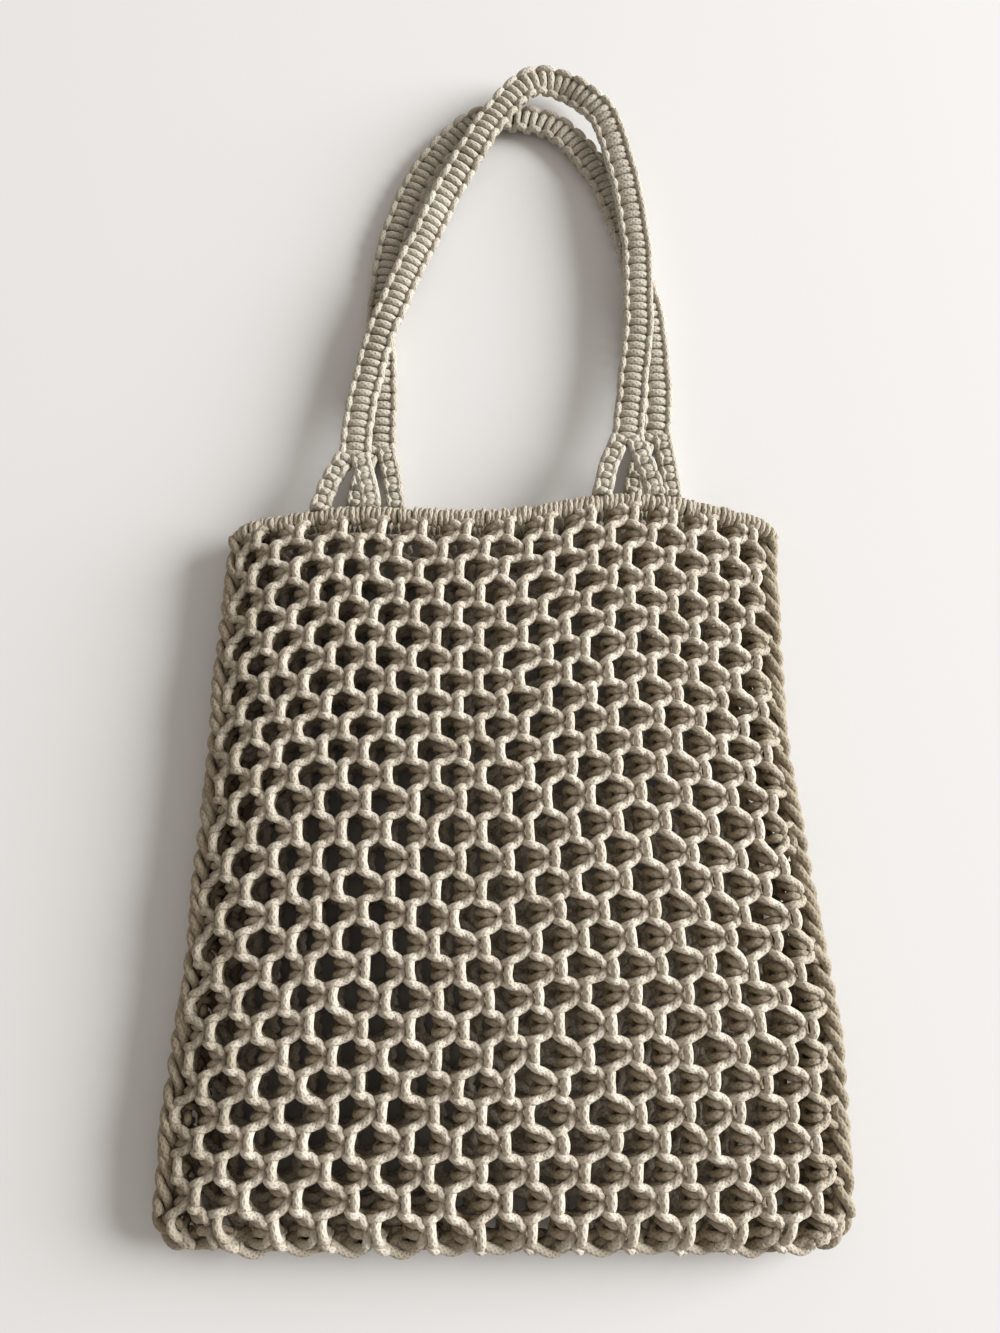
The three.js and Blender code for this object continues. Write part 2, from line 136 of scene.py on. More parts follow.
def along(stops, values, x):
    """Smooth values at x from a table, by cubics through its rows."""
    stops, values = np.asarray(stops, float), np.asarray(values, float)
    x = np.clip(np.asarray(x, float), stops[0], stops[-1])
    last = len(stops) - 1
    i = np.clip(np.searchsorted(stops, x, side="right") - 1, 0, last - 1)
    before, after = np.maximum(np.arange(last + 1) - 1, 0), np.minimum(np.arange(last + 1) + 1, last)
    slope = (values[after] - values[before]) / (stops[after] - stops[before])
    span = stops[i + 1] - stops[i]
    s = (x - stops[i]) / span
    rise = s * s * (3 - 2 * s)
    bend = s * (1 - s) * span * ((1 - s) * slope[i] - s * slope[i + 1])
    return values[i] * (1 - rise) + values[i + 1] * rise + bend


def side_x(side, y):
    """x of the outline at height y, on the left side (-1) or the right one (1)."""
    return side * RIM_HALF * along(SIDE_UP, SIDE_LEFT if side < 0 else SIDE_RIGHT, y / BODY_LENGTH)


def swell(x):
    """Rise of the rim at x over its mean height."""
    x = np.asarray(x, float)
    fall = np.clip(1 - (RIM_HALF - np.abs(x)) / EDGE_W, 0, 1)
    return RIM_RISE * along(RIM_ACROSS, RIM_SWELL, x / RIM_HALF) - RIM_SIDE_DROP * fall ** 2


def edge_height(y):
    """Height of the body's edge over the floor, at height y over the base."""
    return along(HEIGHT_STOPS, EDGE_H, y / BODY_LENGTH)


def front_z(x, y):
    """Height of the front over the floor."""
    left, right = side_x(-1, y) + EDGE_W, side_x(1, y) - EDGE_W
    u = np.clip(np.abs((2 * x - left - right) / (right - left)), 0, 1)
    return edge_height(y) + along(HEIGHT_STOPS, CROWN_H, y / BODY_LENGTH) * (1 - u ** CROWN_POWER)


def unit(v):
    return v / np.maximum(np.linalg.norm(v, axis=-1, keepdims=True), 1e-9)


# Tightening of a knot, in cord diameters: least distance between centre lines, and spacing of points
CLOSENESS = 0.66
SPACING = 0.3
# Shares by which a point goes to the middle of its neighbours, and back to its first place
PULL = 0.22
HOLD = 0.4
# Rounds, pushes in each round, and the share of a push that is taken
ROUNDS = 80
PUSHES = 3
PUSH_SHARE = 0.9
# Points of one cord within this multiple of the least distance count as far apart, and don't push
SAME_CORD = 1.25
FAR = 9


def sample(points, spacing):
    """Even points along a polyline, without its last one."""
    points = np.asarray(points, float)
    steps = np.linalg.norm(np.diff(points, axis=0), axis=1)
    run = np.concatenate([[0], np.cumsum(steps)])
    places = np.linspace(0, run[-1], max(4, round(run[-1] / spacing)) + 1)[:-1]
    return np.stack([np.interp(places, run, points[:, k]) for k in range(3)], axis=1)


def settle(strands, links, step):
    """Tightens one repeating knot, and keeps the centre lines of its cords apart.

    strands are rough paths in cord diameters. links say which strand each one runs into and how far
    on that knot is. Returns each strand's settled path, one step between its points.
    """
    paths = {name: sample(points, SPACING) for name, points in strands.items()}
    start, total = {}, 0
    for name, path in paths.items():
        start[name] = total
        total += len(path)
    x = np.concatenate(list(paths.values()))
    wanted = x.copy()
    ahead, ahead_shift = np.arange(total) + 1, np.zeros((total, 3))
    for name, (other, shift) in links.items():
        end = start[name] + len(paths[name]) - 1
        ahead[end] = start[other]
        ahead_shift[end] = shift
    behind, behind_shift = np.empty(total, int), np.zeros((total, 3))
    behind[ahead] = np.arange(total)
    behind_shift[ahead] = -ahead_shift
    steps = {tuple(np.round(shift, 6)) for _, shift in links.values()}
    around = {(0.0, 0.0, 0.0)} | steps | {tuple(-np.array(s)) for s in steps}
    around |= {tuple(np.round(np.array(a) - np.array(b), 6)) for a in steps for b in steps}
    around = np.array(sorted(around))

    def image(shift):
        apart = np.abs(around - shift).sum(axis=1)
        return int(apart.argmin()) if apart.min() < 1e-3 else -1

    # same marks the points close together along one cord
    same = np.zeros((len(around), total, total), bool)
    reach = math.ceil(SAME_CORD * CLOSENESS / SPACING) + 1
    for i in range(total):
        j, shift = i, np.zeros(3)
        same[image(shift), i, i] = True
        for _ in range(reach):
            shift = shift + ahead_shift[j]
            j = ahead[j]
            for one, two, way in ((i, j, shift), (j, i, -shift)):
                if image(way) >= 0:
                    same[image(way), one, two] = True
    for _ in range(ROUNDS):
        mean = (x[ahead] + ahead_shift + x[behind] + behind_shift) / 2
        x = x + PULL * (mean - x) + HOLD * (wanted - x)
        for _ in range(PUSHES):
            push, hits = np.zeros_like(x), np.zeros(total)
            for k, shift in enumerate(around):
                apart = x[:, None, :] - (x[None, :, :] + shift)
                distance = np.linalg.norm(apart, axis=2)
                distance[same[k]] = FAR
                i, j = np.nonzero(distance < CLOSENESS)
                gap = distance[i, j][:, None]
                np.add.at(push, i, 0.5 * (CLOSENESS - gap) * apart[i, j] / np.maximum(gap, 1e-6))
                np.add.at(hits, i, 1)
            x = x + PUSH_SHARE * push / np.maximum(hits, 1)[:, None]
    x[:, 2] -= (x[:, 2].min() + x[:, 2].max()) / 2
    settled = {}
    for name, path in paths.items():
        last = start[name] + len(path) - 1
        whole = np.concatenate([x[start[name]:last + 1], [x[ahead[last]] + ahead_shift[last]]])
        settled[name] = sample(whole, step)
    return settled


def mirrored(half):
    """A path that ends on y = 0, and its mirror image below."""
    return half + [(a, -b, c) for a, b, c in half[-2::-1]]


def net_knot(step):
    """Square knot of the net: the upright bar, the cord that crosses it, and a left and a right cord."""
    p, q = COLUMN_PITCH / 2, ROW_PITCH
    bar = mirrored([
        (-1.35, 1.6, -0.5), (-0.5, 1.0, -1.1), (0.4, 0.85, -1.1), (1.15, 1.1, -0.6), (1.6, 1.35, 0.0),
        (1.75, 1.15, 0.65), (1.75, 0.7, 1.05), (1.75, 0, 1.15),
    ])
    crossing = mirrored([
        (2.5, 1.75, 0.95), (2.1, 1.62, 1.25), (1.7, 1.48, 1.4), (1.2, 1.27, 1.1), (0.75, 0.98, 0.4),
        (0.25, 0.58, 0.4), (-0.3, 0.5, 0.6), (-0.9, 0.65, 0.4), (-1.5, 0.85, -0.1), (-1.85, 0.8, -0.7),
        (-1.6, 0.5, -1.2), (-1.3, 0, -1.4),
    ])
    left = mirrored([
        (-0.6, 1.45, 0.95), (-0.1, 1.24, 1.1), (0.28, 0.92, 1.2), (0.55, 0.52, 1.1), (0.62, 0.35, 0.5),
        (0.4, 0.2, -0.2), (0.1, 0, -0.4),
    ])
    right = mirrored([(1.75, 1.6, -0.5), (1.3, 1.0, -0.7), (1.15, 0.5, -0.65), (1.15, 0, -0.6)])
    strands = {"bar": bar, "left": left, "right": right, "crossing": crossing}
    links = {
        "bar": ("right", (-p, -q, 0)), "right": ("bar", (p, -q, 0)),
        "left": ("crossing", (-p, -q, 0)), "crossing": ("left", (p, -q, 0)),
    }
    return settle(strands, links, step)


def band_knot():
    """Square knot of the straps, in millimetres: ribs across the front, and bars down both edges."""
    s = STRAP_PITCH
    rib = [
        (6.0, s / 2, 0), (5.8, s * 0.36, 0.6), (5.0, s * 0.265, 2.0), (3, s * 0.25, 3.1),
        (0, s * 0.25, 3.5), (-3, s * 0.25, 3.1), (-5.0, s * 0.235, 2.0), (-5.8, s * 0.14, 0.6),
        (-6.0, 0, 0), (-5.8, -s * 0.14, 0.6),
        (-5.0, -s * 0.235, 2.0), (-3, -s * 0.25, 3.1), (0, -s * 0.25, 3.5), (3, -s * 0.25, 3.1),
        (5.0, -s * 0.265, 2.0), (5.8, -s * 0.36, 0.6), (6.0, -s / 2, 0),
    ]
    bar = [
        (7.9, s / 2, 3.8), (7.9, s / 2 - 3.2, 3.4), (8.2, 1.6, 0.8), (7.2, 0.9, -1.8), (3.5, 2.0, -3.1),
        (-3.5, 3.8, -3.1), (-7.2, 4.9, -1.8), (-8.2, 4.3, 0.8), (-7.9, 3.2, 3.4), (-7.9, 0, 3.8),
        (-7.9, -3.2, 3.4), (-8.2, -4.3, 0.8), (-7.2, -4.9, -1.8), (-3.5, -3.8, -3.1), (3.5, -2.0, -3.1),
        (7.2, -0.9, -1.8), (8.2, -1.6, 0.8), (7.9, -s / 2 + 3.2, 3.4), (7.9, -s / 2, 3.8),
    ]
    return {"rib": rounded(rib), "bar": rounded(bar)}


# Rounding of the straps' knot: spacing of the points while it is rounded and after, and passes
ROUNDED_FINE = 0.5
ROUNDED_STEP = 1.5
ROUNDED_PASSES = 10


def rounded(points):
    """A repeating path rounded off, in even points without its last one."""
    points = np.asarray(points, float)
    step = points[-1] - points[0]
    whole = np.concatenate([points[:-1] - step, points[:-1], points + step])
    path = sample(whole, ROUNDED_FINE)
    for _ in range(ROUNDED_PASSES):
        path[1:-1] = (path[:-2] + 2 * path[1:-1] + path[2:]) / 4
    first = int(np.abs(path - points[0]).sum(axis=1).argmin())
    last = int(np.abs(path - points[-1]).sum(axis=1).argmin())
    return sample(path[first:last + 1], ROUNDED_STEP)


def inner_side(side, y):
    """x of the middle surface's side at height y, with the lower corners rounded."""
    inset = np.full_like(y, NET_INSET)
    low = y < NET_CORNER
    radius = NET_CORNER - NET_INSET
    inset[low] = NET_CORNER - np.sqrt(np.maximum(radius ** 2 - (NET_CORNER - y[low]) ** 2, 0))
    return side_x(side, y) - side * inset


def edge_distance(x, y):
    """Distance from the outline of the middle surface, seen from above."""
    beside = np.minimum(x - side_x(-1, y), side_x(1, y) - x)
    at_corner = (beside < NET_CORNER) & (y < NET_CORNER)
    around = NET_CORNER - np.hypot(NET_CORNER - beside, NET_CORNER - y)
    return np.where(at_corner, around, np.minimum(beside, y)) - NET_INSET


def row_height(row):
    """Height over the base of a row of knots; the last step goes round the lower edge."""
    reach = EDGE_W - NET_INSET
    turn = math.acos(1 - (ROW_HEIGHTS[-1] - NET_INSET) / reach)
    round_edge = NET_INSET + reach * (1 - np.cos(turn * (ROWS - row)))
    straight = np.interp(row, ROW_STOPS, ROW_HEIGHTS) + np.where(row < 0, -row * ROW_ABOVE, 0)
    return np.where(row > ROWS - 1, round_edge, straight)


# Grid of the middle surface: rows from above the rim to the lower edge, columns all the way round,
# and the points of each panel's cross-section that it is drawn from
GRID_ROWS = np.concatenate([np.arange(-1.5, ROWS - 1, 0.25), np.linspace(ROWS - 1, ROWS, 9)])
GRID_STEP = 0.05
GRID_COLUMNS = np.arange(round(COLUMNS / GRID_STEP) + 1) * GRID_STEP
SECTION_POINTS = 401


def body_grid():
    """Places and outward directions of the middle surface for each row and column."""
    u = np.linspace(0, 1, SECTION_POINTS)
    ease = 0.5 - 0.5 * np.cos(math.pi * u)
    half = COLUMNS / 2
    places = np.zeros((len(GRID_ROWS), len(GRID_COLUMNS), 3))
    for i, level in enumerate(row_height(GRID_ROWS)):
        y = np.full_like(u, level)
        left, right = inner_side(-1, y), inner_side(1, y)
        x = left + (right - left) * ease
        depth = np.clip(edge_distance(x, y) / (EDGE_W - NET_INSET), 0, 1)
        arch = np.sqrt(1 - (1 - depth) ** 2)
        middle = edge_height(y) / 2
        share = np.clip((level - CORNER_R) / (BODY_LENGTH - CORNER_R), 0, 1.05)
        up = y + share * swell(x)
        front = middle + (front_z(x, y) - NET_INSET - middle) * arch
        back = middle + (BACK_INSET - middle) * arch
        for z, over in ((front, True), (back, False)):
            line = np.stack([x, up, z], axis=1)
            run = np.concatenate([[0], np.cumsum(np.linalg.norm(np.diff(line, axis=0), axis=1))])
            share_along = run / run[-1] * half
            mine = GRID_COLUMNS <= half if over else GRID_COLUMNS > half
            at = GRID_COLUMNS[mine] if over else COLUMNS - GRID_COLUMNS[mine]
            section = [np.interp(at, share_along, line[:, k]) for k in range(3)]
            places[i, mine] = np.stack(section, axis=1)
    places[:, -1] = places[:, 0]
    down = np.gradient(places, axis=0)
    wrapped = np.concatenate([places[:, -3:-1], places, places[:, 1:3]], axis=1)
    across = np.gradient(wrapped, axis=1)[:, 2:-2]
    return places, unit(np.cross(down, across))


PLACES, OUTWARD = body_grid()


def blend_grid(grid, row, column):
    """Values of a grid at rows and columns between its own."""
    r = np.interp(row, GRID_ROWS, np.arange(len(GRID_ROWS)))
    c = np.mod(column, COLUMNS) / GRID_STEP
    i, j = np.minimum(r.astype(int), len(GRID_ROWS) - 2), np.minimum(c.astype(int), len(GRID_COLUMNS) - 2)
    a, b = (r - i)[..., None], (c - j)[..., None]
    top = grid[i, j] * (1 - b) + grid[i, j + 1] * b
    low = grid[i + 1, j] * (1 - b) + grid[i + 1, j + 1] * b
    return top * (1 - a) + low * a


def on_body(column, row, height):
    """Places at a height over the middle surface."""
    return blend_grid(PLACES, row, column) + blend_grid(OUTWARD, row, column) * height[..., None]


# Small unevenness of handwork: one value for each kind and knot place. Three kinds are used, and
# the fourth stays so that the later random draws are the same.
WANDER = rng.normal(0, 1, (4, ROWS + 3, COLUMNS))


def wander(kind, column, row):
    """Unevenness of one kind, smooth between the knot places."""
    c, r = np.mod(column, COLUMNS), np.clip(row + 1, 0, ROWS + 1.99)
    j, i = c.astype(int), r.astype(int)
    b, a = c - j, r - i
    a, b = a * a * (3 - 2 * a), b * b * (3 - 2 * b)
    grid, k = WANDER[kind], (j + 1) % COLUMNS
    top = grid[i, j % COLUMNS] * (1 - b) + grid[i, k] * b
    low = grid[i + 1, j % COLUMNS] * (1 - b) + grid[i + 1, k] * b
    return top * (1 - a) + low * a


def tube(path, sides, radius, closed, run_start):
    """Vertices, quads, surface coordinates, end caps and run of a cord along a path.

    The run is the length along the cord in cord diameters, and gives the braid its place.
    """
    n = len(path)
    if closed:
        tangent = unit(np.roll(path, -1, axis=0) - np.roll(path, 1, axis=0))
    else:
        tangent = unit(np.gradient(path, axis=0))
    normal = np.zeros_like(path)
    first = UP if abs(tangent[0][2]) < 0.9 else np.array([1.0, 0.0, 0.0])
    v = first - tangent[0] * first.dot(tangent[0])
    normal[0] = v / math.sqrt(v.dot(v))
    for i in range(1, n):
        v = normal[i - 1] - tangent[i] * tangent[i].dot(normal[i - 1])
        normal[i] = v / math.sqrt(v.dot(v))
    side = np.cross(tangent, normal)
    turn = 2 * math.pi * np.arange(sides) / sides
    radius = np.broadcast_to(radius, n)[:, None, None]
    rings = (
        path[:, None, :]
        + radius * np.cos(turn)[None, :, None] * normal[:, None, :]
        + radius * np.sin(turn)[None, :, None] * side[:, None, :]
    )
    steps = np.linalg.norm(np.diff(path, axis=0), axis=1)
    run = run_start + np.concatenate([[0], np.cumsum(steps)]) / CORD
    rows = n if closed else n - 1
    i, k = np.meshgrid(np.arange(rows), np.arange(sides), indexing="ij")
    i, k = i.ravel(), k.ravel()
    j, m = (i + 1) % n, (k + 1) % sides
    quads = np.stack([i * sides + k, i * sides + m, j * sides + m, j * sides + k], axis=1)
    end_run = np.append(run, run[-1] + (steps.mean() / CORD if closed else 0))
    u0, u1 = end_run[i], end_run[i + 1]
    v0, v1 = k / sides, (k + 1) / sides
    corners = ((u0, v0), (u0, v1), (u1, v1), (u1, v0))
    coords = np.stack([np.stack(corner, axis=1) for corner in corners], axis=1)
    caps = []
    if not closed:
        caps = [np.arange(sides)[::-1], (n - 1) * sides + np.arange(sides)]
    return rings.reshape(-1, 3), quads, coords, caps, run


# Shift of the braid from one cord to the next, in cord diameters
BRAID_SHIFT = 17.3


def cord_piece(name, paths, material, sides, radius, closed=False, shade_lifts=None):
    """One mesh object from many cords, in metres, in the frame. radius is one size or one for each.

    The last argument says for each cord how proud its points lie, from 0 to 1; cord deep in a knot gets
    painted shade, a darker and browner tone for the shade that falls in the knot.
    """
    radii = radius if isinstance(radius, list) else [radius] * len(paths)
    shade_lifts = shade_lifts or [1.0] * len(paths)
    point_shade_lifts = [np.broadcast_to(lift, len(path)) for lift, path in zip(shade_lifts, paths)]
    lift = np.concatenate([np.repeat(values, sides) for values in point_shade_lifts])
    vertices, loops, sizes, coords, base = [], [], [], [], 0
    for number, path in enumerate(paths):
        points, quads, at, caps, run = tube(path, sides, radii[number], closed, BRAID_SHIFT * number)
        vertices.append(points)
        loops.append((quads + base).ravel())
        sizes.append(np.full(len(quads), 4))
        coords.append(at.reshape(-1, 2))
        for cap, place in zip(caps, (run[0], run[-1])):
            loops.append(cap + base)
            sizes.append(np.array([sides]))
            coords.append(np.stack([np.full(sides, place), np.arange(sides) / sides], axis=1))
        base += len(points)
    vertices = (np.concatenate(vertices) + np.array([SHIFT_X, SHIFT_Y, 0])) * MM
    loops, sizes, coords = np.concatenate(loops), np.concatenate(sizes), np.concatenate(coords)
    mesh = bpy.data.meshes.new(name)
    mesh.vertices.add(len(vertices))
    mesh.vertices.foreach_set("co", vertices.astype(np.float32).ravel())
    mesh.loops.add(len(loops))
    mesh.loops.foreach_set("vertex_index", loops.astype(np.int32))
    mesh.polygons.add(len(sizes))
    starts = np.concatenate([[0], np.cumsum(sizes)[:-1]])
    mesh.polygons.foreach_set("loop_start", starts.astype(np.int32))
    mesh.polygons.foreach_set("loop_total", sizes.astype(np.int32))
    mesh.polygons.foreach_set("use_smooth", np.ones(len(sizes), bool))
    mesh.attributes.new("lift", "FLOAT", "POINT").data.foreach_set("value", lift.astype(np.float32))
    layer = mesh.uv_layers.new(name="UVMap")
    layer.data.foreach_set("uv", coords.astype(np.float32).ravel())
    mesh.materials.append(material)
    mesh.update()
    mesh.validate()
    piece = bpy.data.objects.new(name, mesh)
    bpy.context.scene.collection.objects.link(piece)
    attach(piece, "root")
    return piece


# Painted shade: the tone of cord deep in a knot, darker and browner for the shade there, and of cord
# elsewhere. Braid: ridges round the cord, turns in a cord diameter.
RECESS_SHADE_TINT = (0.63, 0.58, 0.51, 1)
PLAIN_TINT = (1, 1, 1, 1)
BRAID_STRANDS = 5.0
BRAID_TURNS = 1.3
# Noise, by scale and detail: fine fuzz and slow tone
FUZZ = (850, 4)
TONE = (55, 3)
# Shares of the braid and the fuzz in the bumps, and of the tone, the braid and the fuzz in the colour
BUMP_BRAID, BUMP_FUZZ = 0.3, 0.9
SHADE_TONE, SHADE_BRAID, SHADE_FUZZ = 0.7, 0.14, 0.3


def cord_material(name, light, dark):
    """Braided cotton: crossing ridges along the cord, fine fuzz, uneven tone, and painted shade on cord deep
    in a knot.
    """
    material = bpy.data.materials.new(name)
    material.use_nodes = True
    nodes, links = material.node_tree.nodes, material.node_tree.links
    shader = nodes["Principled BSDF"]
    shader.inputs["Roughness"].default_value = 0.88
    shader.inputs["Sheen Weight"].default_value = 0.15
    shader.inputs["Sheen Roughness"].default_value = 0.5
    shader.inputs["Specular IOR Level"].default_value = 0.25

    def math_node(operation, a, b=None):
        node = nodes.new("ShaderNodeMath")
        node.operation = operation
        for socket, value in zip(node.inputs, (a, b)):
            if value is None:
                continue
            if isinstance(value, (int, float)):
                socket.default_value = value
            else:
                links.new(value, socket)
        return node.outputs[0]

    def mix_node(blend, factor, a, b):
        node = nodes.new("ShaderNodeMix")
        node.data_type = "RGBA"
        node.blend_type = blend
        for socket, value in ((node.inputs[0], factor), (node.inputs[6], a), (node.inputs[7], b)):
            if isinstance(value, (float, tuple)):
                socket.default_value = value
            else:
                links.new(value, socket)
        return node.outputs[2]

    place = nodes.new("ShaderNodeUVMap")
    place.uv_map = "UVMap"
    split = nodes.new("ShaderNodeSeparateXYZ")
    links.new(place.outputs[0], split.inputs[0])
    run = math_node("MULTIPLY", split.outputs[0], 2 * math.pi * BRAID_TURNS)
    round_it = math_node("MULTIPLY", split.outputs[1], 2 * math.pi * BRAID_STRANDS)
    one = math_node("SINE", math_node("ADD", run, round_it))
    two = math_node("SINE", math_node("SUBTRACT", run, round_it))
    braid = math_node("MAXIMUM", one, two)
    coordinates = nodes.new("ShaderNodeTexCoord")

    def noise_node(scale, detail):
        node = nodes.new("ShaderNodeTexNoise")
        node.inputs["Scale"].default_value = scale
        node.inputs["Detail"].default_value = detail
        links.new(coordinates.outputs["Object"], node.inputs["Vector"])
        return node.outputs[0]

    def weighted(a, share_a, b, share_b):
        return math_node("ADD", math_node("MULTIPLY", a, share_a), math_node("MULTIPLY", b, share_b))

    fuzz = noise_node(*FUZZ)
    tone = noise_node(*TONE)
    height = weighted(braid, BUMP_BRAID, fuzz, BUMP_FUZZ)
    bump = nodes.new("ShaderNodeBump")
    bump.inputs["Strength"].default_value = 0.85
    bump.inputs["Distance"].default_value = 0.0006
    links.new(height, bump.inputs["Height"])
    links.new(bump.outputs[0], shader.inputs["Normal"])
    shade = weighted(tone, SHADE_TONE, braid, SHADE_BRAID)
    shade = math_node("ADD", shade, math_node("MULTIPLY", fuzz, SHADE_FUZZ))
    ramp = nodes.new("ShaderNodeValToRGB")
    ramp.color_ramp.elements[0].position = 0.2
    ramp.color_ramp.elements[0].color = (*dark, 1)
    ramp.color_ramp.elements[1].position = 0.75
    ramp.color_ramp.elements[1].color = (*light, 1)
    links.new(shade, ramp.inputs[0])
    # Painted shade: the lift attribute darkens and browns cord that lies deep in a knot, where shade falls
    lift = nodes.new("ShaderNodeAttribute")
    lift.attribute_name = "lift"
    painted_shade = mix_node("MIX", lift.outputs["Fac"], RECESS_SHADE_TINT, PLAIN_TINT)
    links.new(mix_node("MULTIPLY", 1.0, ramp.outputs[0], painted_shade), shader.inputs["Base Color"])
    return material


NET_CORD = cord_material("net_cord", (0.7, 0.65, 0.56), (0.43, 0.375, 0.295))
EDGE_CORD = cord_material("edge_cord", (0.53, 0.485, 0.4), (0.345, 0.295, 0.22))
RIM_CORD = cord_material("rim_cord", (0.55, 0.505, 0.42), (0.36, 0.31, 0.235))
STRAP_CORD = cord_material("strap_cord", (0.58, 0.545, 0.475), (0.38, 0.335, 0.26))


# Net. Radius of the cords at the front and at the back
NET_RADIUS = 2.2
BACK_RADIUS = 2.75
# The knots, with their steps between points in cord diameters. The back shows less and is coarser.
KNOT = net_knot(0.42)
BACK_KNOT = net_knot(0.6)
# Bumps of relief in a knot: x of the middle, spread in x and y, and height, in cord diameters
RELIEF = ((1.7, 0.75, 1.3, 0.6), (-1.1, 1.2, 1.1, -0.3))
# Added shares of thickness: the bar, the crossing cord's lobe, its ends, and the left cord
BAR_PLUMP = 0.14
LOBE_PLUMP = 0.4
END_PLUMP = 0.12
LEFT_PLUMP = 0.12
# Unevenness of a place, in columns and in rows, and of its height in millimetres
WANDER_COLUMN = 0.058
WANDER_ROW = 0.095
WANDER_HEIGHT = 0.5
# Back panel: rows that it lies lower, share of its knots' height that the floor takes, and columns
# that the knots spread towards the sides
BACK_LAG = 1.0
BACK_PRESS = 0.45
BACK_SPREAD = 0.5
# How steeply the lag and the press fade near the sides, and the lag near the rim and the base
FADE_ACROSS = 14
FADE_DOWN = 11
# Share of their height that the knots at the rim lose, and the row down to which they do
RIM_PRESS = 0.3
RIM_ROW = 0.6
# On the line of either side: fall of the cords, share of their height they lose, and its spread
SIDE_FALL = 2.6
SIDE_PRESS = 0.45
SIDE_SPREAD = 0.42
# Height in a knot, in cord diameters, at which the painted shade of the knot's recesses starts to fade, and
# the height it takes
SHADE_FADE_START = 0.05
SHADE_FADE_SPAN = 0.75


def relief(column, row):
    """Extra height in cord diameters: each knot slopes from its proud bar down to its far side."""
    total = np.zeros_like(column)
    for step in (-1, 0, 1, 2):
        knot_row = np.floor(row) + step
        offset = FIRST_COLUMN + 0.5 * np.mod(knot_row, 2)
        y = (knot_row - row) * ROW_PITCH
        for x0, spread_x, spread_y, height in RELIEF:
            knot_column = np.round(column - offset - x0 / COLUMN_PITCH) + offset
            x = (column - knot_column) * COLUMN_PITCH - x0
            total += height * np.exp(-((x / spread_x) ** 2) - (y / spread_y) ** 2)
    return total


def girth(kind, strand):
    """Share of thickness of a cord along one knot: visible runs are plump, the others drawn tight."""
    x, y, z = strand.T
    if kind == "bar":
        return 1 + BAR_PLUMP * np.clip((x - 1.0) / 0.6, 0, 1)
    if kind == "crossing":
        lobe = LOBE_PLUMP * np.exp(-(((x + 0.6) / 1.1) ** 2)) * np.clip(2 * (z + 0.5), 0, 1)
        return 1 + lobe + END_PLUMP * np.clip(x - 0.8, 0, 1)
    if kind == "left":
        return 1 + LEFT_PLUMP * np.clip(z, 0, 1)
    return np.ones(len(x))


def chain_points(knot, order, column, step):
    """One cord from the rim to the base, through two kinds of place in turn."""
    columns, rows, heights, radii = [], [], [], []
    thickness = NET_RADIUS if knot is KNOT else BACK_RADIUS
    for row in range(ROWS):
        strand = knot[order[row % 2]]
        at = column + (step if row % 2 else 0)
        columns.append(at + strand[:, 0] / COLUMN_PITCH)
        rows.append(row - strand[:, 1] / ROW_PITCH)
        heights.append(strand[:, 2])
        radii.append(thickness * girth(order[row % 2], strand))
    columns, rows, heights = np.concatenate(columns), np.concatenate(rows), np.concatenate(heights)
    return columns, rows, heights + relief(columns, rows), np.concatenate(radii)


def lay(column, row, height):
    """A cord's places on the body, with the small unevenness of handwork."""
    over_back = np.clip(np.mod(column, COLUMNS) / COLUMNS * 2 - 1, 0, 1)
    shifted = column + WANDER_COLUMN * wander(0, column, row) - BACK_SPREAD * np.sin(2 * math.pi * over_back)
    down_body = np.clip(row / (ROWS - 1), 0, 1)
    across = np.clip(FADE_ACROSS * over_back * (1 - over_back), 0, 1)
    lag = across * np.clip(FADE_DOWN * down_body * (1 - down_body), 0, 1)
    lowered = row + WANDER_ROW * wander(1, column, row) + BACK_LAG * lag
    at_rim = np.clip(RIM_ROW - row, 0, 1)
    raised = height * CORD * (1 - RIM_PRESS * at_rim) + WANDER_HEIGHT * wander(2, column, row)
    raised *= 1 - BACK_PRESS * across
    return on_body(shifted, lowered, raised - side_share(column) * (SIDE_PRESS * np.abs(raised) + SIDE_FALL))


def side_share(column):
    """1 on the line of either side, and 0 away from it."""
    half = COLUMNS / 2
    apart = np.abs(np.mod(column + half / 2, half) - half / 2)
    return np.exp(-((apart / SIDE_SPREAD) ** 2))


# Each cord's two strands in turn, and the columns it moves between them
CHAINS = (
    ("bar", "right", -0.5), ("right", "bar", 0.5), ("crossing", "left", 0.5), ("left", "crossing", -0.5),
)
# Columns on each side of a side line whose cords go to that side's piece, and points in a cord's end
EDGE_SHARE = 1.1
TAIL = 4

net_paths = {"front": [], "back": [], "left": [], "right": []}
ends = {"front": [], "back": []}
for k in range(COLUMNS):
    for first, second, step in CHAINS:
        start = FIRST_COLUMN + k
        middle = start + step / 2
        over = middle < COLUMNS / 2
        if min(middle, COLUMNS - middle) < EDGE_SHARE:
            part = "left"
        elif abs(middle - COLUMNS / 2) < EDGE_SHARE:
            part = "right"
        else:
            part = "front" if over else "back"
        knot = BACK_KNOT if part == "back" else KNOT
        column, row, height, radius = chain_points(knot, (first, second), start, step)
        # Painted shade for the front and the sides: the lower a cord lies in its knot, the darker and
        # browner it is painted
        lift = np.clip((height - SHADE_FADE_START) / SHADE_FADE_SPAN, 0, 1) if part != "back" else 1.0
        net_paths[part].append((middle, lay(column, row, height), radius, lift))
        end = lay(column[-TAIL:], row[-TAIL:], height[-TAIL:])
        ends["front" if over else "back"].append((column[-1], end))

for part, node in (("front", "front_net"), ("back", "back_net")):
    ordered = sorted(net_paths[part], key=lambda item: item[0])
    half = len(ordered) // 2
    for label, group in (("a", ordered[:half]), ("b", ordered[half:])):
        paths, radii, shade_lifts = ([item[i] for item in group] for i in (1, 2, 3))
        piece = cord_piece(f"{part}_net_cords_{label}", paths, NET_CORD, FLATS[node], radii, shade_lifts=shade_lifts)
        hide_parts(node)
